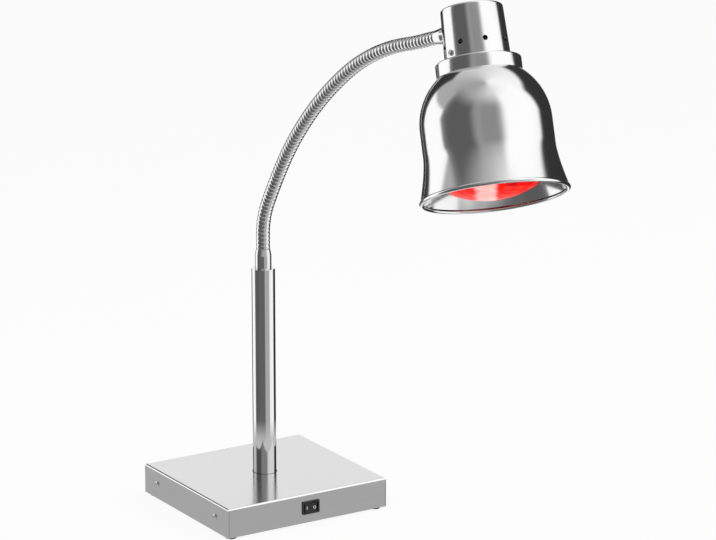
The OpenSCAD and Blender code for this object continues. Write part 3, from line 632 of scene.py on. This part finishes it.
def hose_mesh(name, start, end, sides=40, rings=10):
    """A closed stretch of ribbed hose between two lengths along the arm."""
    count = round((end - start) / RIB_PITCH) * rings
    points = []

    def ring(s, radius):
        centre, lean = arm_point(s)
        normal = arm_normal(lean)
        for k in range(sides):
            turn = 2 * math.pi * k / sides
            points.append((centre + (ACROSS * math.cos(turn) + normal * math.sin(turn)) * radius) * MM)

    for i in range(count + 1):
        s = start + (end - start) * i / count
        ring(s, rib_radius((s / RIB_PITCH) % 1))
    for i in range(count, -1, -rings):
        ring(start + (end - start) * i / count, HOSE_BORE_R)
    rows = len(points) // sides
    faces = []
    for i in range(rows):
        for k in range(sides):
            a, b = i * sides + k, i * sides + (k + 1) % sides
            c, d = ((i + 1) % rows) * sides + k, ((i + 1) % rows) * sides + (k + 1) % sides
            faces.append((a, c, d, b))
    return mesh_from(name, points, faces)


def make_hose():
    """One skin for each hinge of the arm, from the middle of one stiff stretch to the middle of the next."""
    hinges = [STIFF + FLEX / 2 + STRETCH * k for k in range(HINGES)]
    cuts = [0] + [hinge + STRETCH / 2 for hinge in hinges[:-1]] + [HOSE_L]
    covered = [["hose_%d" % k, "flex_%d" % k] for k in range(1, HINGES + 1)]
    covered[-1].append("hose_%d" % (HINGES + 1))
    for k, hinge in enumerate(hinges):
        name = "hose_skin_%d" % (k + 1)
        piece = make_object(name, hose_mesh(name, cuts[k], cuts[k + 1]), HOSE_METAL, 60)
        start, _ = arm_point(hinge - FLEX / 2)
        end, _ = arm_point(hinge + FLEX / 2)
        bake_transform(piece)
        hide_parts(*covered[k])


# The head

def shade_outline():
    """The shade's wall from just above its rolled rim, over the dome and collar, to the neck's top."""
    steps = [0.045, 0.07] + [i / 20 for i in range(2, 21)]
    flare = [(SHADE_R + FLARE * (1 - f) ** FLARE_POWER, FLARE_H * f) for f in steps]
    wall = [(SHADE_R, FLARE_H + (DOME_Z - FLARE_H) * i / 4) for i in range(1, 4)]
    dome_end = math.degrees(math.acos(COLLAR_R / SHADE_R))
    dome = arc((0, DOME_Z), SHADE_R, 0, dome_end, 36)
    root = [(COLLAR_R, dome[-1][1] + COLLAR_FOOT)]
    collar = arc((COLLAR_R - COLLAR_ROUND, CAP_Z - COLLAR_ROUND), COLLAR_ROUND, 0, 90, 8)
    neck_r = cap_radius(NECK_TOP) - CAP_T - NECK_GAP
    neck = [(neck_r + 1, CAP_Z), (neck_r, CAP_Z + 1), (neck_r, NECK_TOP)]
    return wall_outline(flare + wall + dome + root + collar + neck, SHADE_T)


def make_shade():
    rim = arc((SHADE_R + FLARE - BEAD_R, BEAD_R), BEAD_R, 0, 350, 35)
    whole = join_meshes("shade_skin", [
        lathe_mesh("wall", shade_outline(), HEAD, 256),
        lathe_mesh("bead", rim, HEAD, 256),
    ])
    piece = make_object("shade_skin", whole, SPUN, 32)
    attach(piece, "head")
    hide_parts("shade")


def on_cap(turn, z, out):
    """A place on the cap's wall, moved out along its radius."""
    angle = math.radians(turn)
    radius = cap_radius(z) + out
    return HEAD @ Vector((radius * math.cos(angle), radius * math.sin(angle), z))


def hole_cutters(first, count, z, radius):
    """Rods through the cap's wall, evenly round it from the first one's angle."""
    turns = [first + 360 * k / count for k in range(count)]
    return [rod_mesh(on_cap(turn, z, -CUT_IN), on_cap(turn, z, CUT_OUT), mm(radius)) for turn in turns]


def make_cap():
    top = CAP_Z + CAP_H
    edge = cap_radius(top - CAP_ROUND)
    wall = [(cap_radius(CAP_Z + z), CAP_Z + z) for z in (0.0, 10.0, 28.0, 46.0, 60.0)]
    corner = arc((edge - CAP_ROUND, top - CAP_ROUND), CAP_ROUND, 0, 90, 10)
    crown = [((edge - CAP_ROUND) * f, top + CROWN * (1 - f * f)) for f in (0.85, 0.7, 0.5, 0.3, 0.12, 0)]
    mesh = lathe_mesh("cap", wall_outline(wall + corner + crown, CAP_T), HEAD, 256)
    cutters = hole_cutters(VENT_FIRST, VENTS, VENT_Z, VENT_R)
    cutters += hole_cutters(SCREW_FIRST, SCREWS, SCREW_Z, SCREW_HOLE_R)
    nipple_way = Vector((-math.cos(HEAD_NOD), 0, math.sin(HEAD_NOD)))
    nipple_in, nipple_out = (Vector((0, 0, ARM_Z)) + nipple_way * reach for reach in (30, 50))
    cutters.append(rod_mesh(HEAD @ nipple_in, HEAD @ nipple_out, mm(NIPPLE_R)))
    piece = make_object("cap_skin", cut_holes(mesh, cutters), SPUN, 32)
    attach(piece, "head")
    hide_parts("lamp_cap")


def make_bulb():
    def face_z(r):
        return BULB_LIFT + FACE_R - math.sqrt(FACE_R ** 2 - r ** 2)

    edge_r = BULB_R - BULB_EDGE
    edge_z = face_z(edge_r)
    face = [(edge_r * i / 16, face_z(edge_r * i / 16)) for i in range(16)]
    rise = BULB_TOP - BULB_WIDE
    shoulder = [(edge_r, edge_z), (BULB_R - 4, (2 * edge_z + BULB_WIDE) / 3), (BULB_R, BULB_WIDE)]
    taper = [(BULB_R * wide, BULB_WIDE + rise * high) for wide, high in BULB_TAPER]
    side = catmull(shoulder + taper + [(BULB_NECK_R, BULB_TOP)], 10)
    outline = wall_outline(face + side, BULB_T)
    piece = make_object("bulb_skin", lathe_mesh("bulb", outline, HEAD, 160), RUBY, 60)
    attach(piece, "head")
    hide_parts("bulb_glass")


# The studio

# What the metal mirrors: a room that is brighter on one side, with soft boxes and dark flags in it.
# For each: degrees round from the viewer's side, right being positive, degrees up, brightness, and softness.
ROOM_LEVEL = 0.65
ROOM_SWING = 0.3
ROOM_BRIGHT_SIDE = 100
GROUND = -100
BOXES_AND_FLAGS = {
    "back wall, left half": ((-190, -172), (GROUND, 25), 1.0, 3),
    "back wall, right half": ((172, 190), (GROUND, 25), 1.0, 3),
    "left flag": ((-90, -25), (GROUND, 50), 0.1, 15),
    "front gap": ((-25, 30), (GROUND, 55), 0.25, 15),
    "front card": ((-15, 35), (5, 15), 0.5, 5),
    "low front flag": ((-45, 15), (GROUND, 5), 0.12, 5),
    "right low card": ((15, 60), (GROUND, 10), 0.4, 5),
    "right box": ((35, 100), (10, 65), 1.0, 10),
    "right flag": ((110, 170), (GROUND, 40), 0.03, 5),
    "left box": ((-135, -90), (GROUND, 20), 1.0, 3),
    "left upper card": ((-135, -90), (20, 45), 0.4, 5),
    "back left flag": ((-170, -135), (GROUND, 40), 0.03, 3),
}
# The even light that dull surfaces get, what the camera sees behind the lamp, and the strength of all of it
ROOM_EVEN = 0.53
BACKDROP = 0.89
ROOM_STRENGTH = 1.12

# The pale table that metal sees below it: its reach, its soft edge, and how pale it is
TABLE_R = 0.3
TABLE_EDGE = 0.1
TABLE_LEVEL = 0.58
# How much of the floor's look to the camera is plain white, so that its shadows stay soft
FLOOR_WHITE = 0.9
FLOOR_REACH = 9.0


def degrees_round(n, way):
    """Degrees round from the viewer's side to a way, from -180 to 180."""
    parts = n.add("ShaderNodeSeparateXYZ", {0: way}).outputs
    c, s = math.cos(VIEWER_AZIMUTH), math.sin(VIEWER_AZIMUTH)
    toward = n.math("ADD", n.math("MULTIPLY", parts[0], c), n.math("MULTIPLY", parts[1], s))
    aside = n.math("SUBTRACT", n.math("MULTIPLY", parts[1], c), n.math("MULTIPLY", parts[0], s))
    return n.math("DEGREES", n.math("ARCTAN2", aside, toward))


def degrees_up(n, way):
    height = n.add("ShaderNodeSeparateXYZ", {0: way}).outputs[2]
    return n.math("DEGREES", n.math("ARCSINE", height))


def mirrored_studio(n, way):
    """The brightness that metal mirrors from a way."""
    turn, up = degrees_round(n, way), degrees_up(n, way)
    side = n.math("COSINE", n.math("RADIANS", n.math("SUBTRACT", turn, ROOM_BRIGHT_SIDE)))
    seen = n.math("ADD", n.math("MULTIPLY", side, ROOM_SWING), ROOM_LEVEL)
    for (left, right), (low, high), level, soft in BOXES_AND_FLAGS.values():
        share = n.math("MULTIPLY", window(n, turn, left, right, soft), window(n, up, low, high, soft))
        seen = n.add("ShaderNodeMix", {0: share, 2: seen, 3: level}, data_type="FLOAT").outputs[0]
    return seen


def make_world():
    """White for the camera, an even light for the surfaces, and the studio for what mirrors it."""
    world = bpy.data.worlds.new("studio")
    bpy.context.scene.world = world
    world.use_nodes = True
    n = Nodes(world.node_tree)
    way = n.add("ShaderNodeTexCoord").outputs["Generated"]
    ray = n.add("ShaderNodeLightPath")
    glossy = n.mix(ray.outputs["Is Glossy Ray"], grey(ROOM_EVEN), mirrored_studio(n, way))
    white = n.mix(ray.outputs["Is Camera Ray"], glossy, grey(BACKDROP))
    clear = n.mix(ray.outputs["Is Transmission Ray"], white, grey(BACKDROP))
    background = n.add("ShaderNodeBackground", {"Color": clear, "Strength": ROOM_STRENGTH})
    out = n.add("ShaderNodeOutputWorld")
    n.tree.links.new(background.outputs[0], out.inputs["Surface"])


def make_floor():
    """A pale floor that keeps a soft shadow. Metal sees it as a table, and from below it isn't there."""
    material, n = new_material("floor_paper")
    place = n.place()
    ray = n.add("ShaderNodeLightPath")
    paper = n.mix(n.noise(place, 700, 3.0, 0.6), grey(0.96), grey(1.0))
    diffuse = n.add("ShaderNodeBsdfDiffuse", {"Color": paper}).outputs[0]
    white = n.add("ShaderNodeEmission", {"Color": grey(1.0), "Strength": 1.0}).outputs[0]
    lit = n.mix_shaders(n.math("MULTIPLY", ray.outputs["Is Camera Ray"], FLOOR_WHITE), diffuse, white)
    table = n.add("ShaderNodeEmission", {"Color": grey(TABLE_LEVEL), "Strength": 1.0}).outputs[0]
    clear = n.add("ShaderNodeBsdfTransparent").outputs[0]
    past_edge = n.ramp(n.length(place), [(TABLE_R, 0.0), (TABLE_R + TABLE_EDGE, 1.0)])
    mirrored = n.mix_shaders(past_edge, table, clear)
    whole = n.mix_shaders(ray.outputs["Is Glossy Ray"], lit, mirrored)
    under = n.add("ShaderNodeNewGeometry").outputs["Backfacing"]
    out = n.add("ShaderNodeOutputMaterial")
    n.tree.links.new(n.mix_shaders(under, whole, clear), out.inputs["Surface"])
    corners = [(-1, -1), (1, -1), (1, 1), (-1, 1)]
    mesh = mesh_from("floor", [(x * FLOOR_REACH, y * FLOOR_REACH, 0) for x, y in corners], [(0, 1, 2, 3)])
    floor = make_object("floor", mesh, material)


def make_lamp(name, place, aim, size, watts):
    light = bpy.data.lights.new(name, "AREA")
    light.shape = "RECTANGLE"
    light.size, light.size_y = size
    light.energy = watts
    lamp = bpy.data.objects.new(name, light)
    lamp.location = place
    lamp.rotation_euler = (Vector(aim) - Vector(place)).to_track_quat("-Z", "Y").to_euler()
    lamp.visible_glossy = False
    bpy.context.scene.collection.objects.link(lamp)


def make_camera():
    camera = bpy.data.cameras.new("camera")
    camera.sensor_width = SENSOR
    camera.lens = FOCAL_PIXELS * SENSOR / FRAME_PIXELS
    camera.clip_end = 100
    holder = bpy.data.objects.new("camera", camera)
    holder.location = CAMERA_AT
    holder.rotation_euler = (math.pi / 2 + CAMERA_PITCH, 0, CAMERA_YAW)
    bpy.context.scene.collection.objects.link(holder)
    bpy.context.scene.camera = holder


# Marks on the switch

def frame_joint(name):
    return next(joint for joint in frame["joints"] if joint["name"] == name)


def rocker_face(x, z):
    """A place on the rocker's front, x and z from its middle in millimetres."""
    return mm(x, ROCKER_DIP - ROCKER_FRONT - abs(x) * ROCKER_SLOPE, z)


def raised_mark(points):
    """A thin plate on the rocker's front, rooted just under the surface."""
    root = Vector((0, mm(MARK_ROOT), 0))
    rise = Vector((0, mm(MARK_RISE), 0))
    mesh = bmesh.new()
    base = [mesh.verts.new(rocker_face(x, z) + root) for x, z in points]
    top = [mesh.verts.new(corner.co - root - rise) for corner in base]
    mesh.faces.new(top)
    mesh.faces.new(base[::-1])
    for i in range(len(points)):
        j = (i + 1) % len(points)
        mesh.faces.new((base[i], base[j], top[j], top[i]))
    bmesh.ops.recalc_face_normals(mesh, faces=mesh.faces)
    pivot = Matrix.Translation(Vector(frame_joint("rocker_tip")["pos_m"]))
    bmesh.ops.transform(mesh, matrix=pivot @ Matrix.Rotation(ROCKER_TILT, 4, "Z"), verts=mesh.verts)
    out = bpy.data.meshes.new("mark")
    mesh.to_mesh(out)
    mesh.free()
    return out


def bar_mark(x, half_wide, half_high):
    corners = [(-1, -1), (1, -1), (1, 1), (-1, 1)]
    return [raised_mark([(x + half_wide * across, half_high * up) for across, up in corners])]


def ring_mark(x, radius, thickness, sides=32):
    plates = []
    for k in range(sides):
        a, b = 2 * math.pi * k / sides, 2 * math.pi * (k + 1) / sides
        corners = ((radius - thickness, a), (radius, a), (radius, b), (radius - thickness, b))
        plates.append(raised_mark([(x + r * math.cos(turn), r * math.sin(turn)) for r, turn in corners]))
    return plates


def make_marks():
    """I and O, raised by a hair's breadth on the two halves of the rocker."""
    marks = {
        "mark_on": bar_mark(-ROCKER_HALF / 2, 0.45, 2.2),
        "mark_off": ring_mark(ROCKER_HALF / 2, 2.1, 0.75),
    }
    for name, meshes in marks.items():
        piece = make_object(name, join_meshes(name, meshes), MARK)
        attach(piece, "rocker")


make_camera()
make_world()
make_floor()
dress_nodes()
make_hose()
make_shade()
make_cap()
make_bulb()
make_marks()
for lamp in LAMPS:
    make_lamp(*lamp)
bpy.context.scene.view_settings.view_transform = "Standard"
